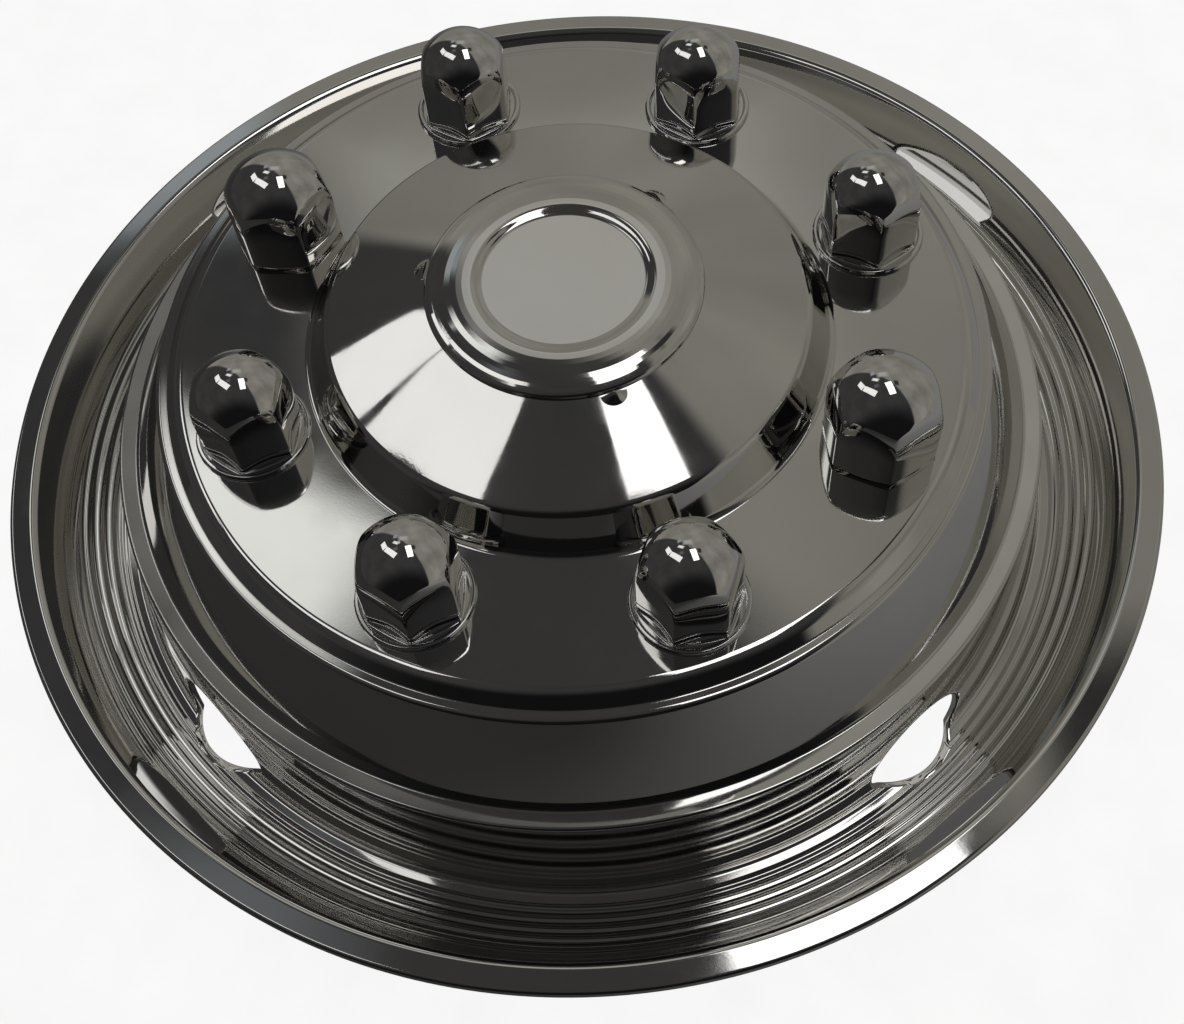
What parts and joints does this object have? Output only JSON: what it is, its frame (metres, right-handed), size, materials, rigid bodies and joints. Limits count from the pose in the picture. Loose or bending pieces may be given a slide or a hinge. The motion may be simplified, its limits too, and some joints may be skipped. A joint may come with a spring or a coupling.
{
  "type": "truck wheel simulator",
  "caption": "Polished stainless front wheel simulator for a truck wheel: ribbed liner with hand holes, hexagon lug covers, two hold-down nuts and a round centre cap.",
  "frame": {"origin": "on the axle axis, in the plane of the back of the rib trough, which is the lowest part", "axes": "+Z along the axle, outboard; the two hold-down nuts lie on the X axis"},
  "size_m": [0.521, 0.521, 0.1415],
  "materials": {
    "polished_liner": "mirror-polished stainless sheet",
    "polished_cap": "mirror-polished stainless sheet",
    "polished_cover": "mirror-polished stainless sheet",
    "polished_nut": "mirror-polished stainless skin",
    "plain_steel": "plain zinc-plated steel"
  },
  "bodies": {
    "root": {"liner": "polished_liner", "centre_cap": "polished_cap", "lug_cover_1": "polished_cover", "lug_cover_2": "polished_cover", "lug_cover_3": "polished_cover", "lug_cover_4": "polished_cover", "lug_cover_5": "polished_cover", "lug_cover_6": "polished_cover", "retaining_ring_1": "plain_steel", "retaining_ring_2": "plain_steel", "retaining_ring_3": "plain_steel", "retaining_ring_4": "plain_steel", "retaining_ring_5": "plain_steel", "retaining_ring_6": "plain_steel", "nut_skin_1": "polished_nut", "nut_skin_2": "polished_nut", "nut_core_1": "plain_steel", "nut_core_2": "plain_steel"}
  },
  "joints": []
}
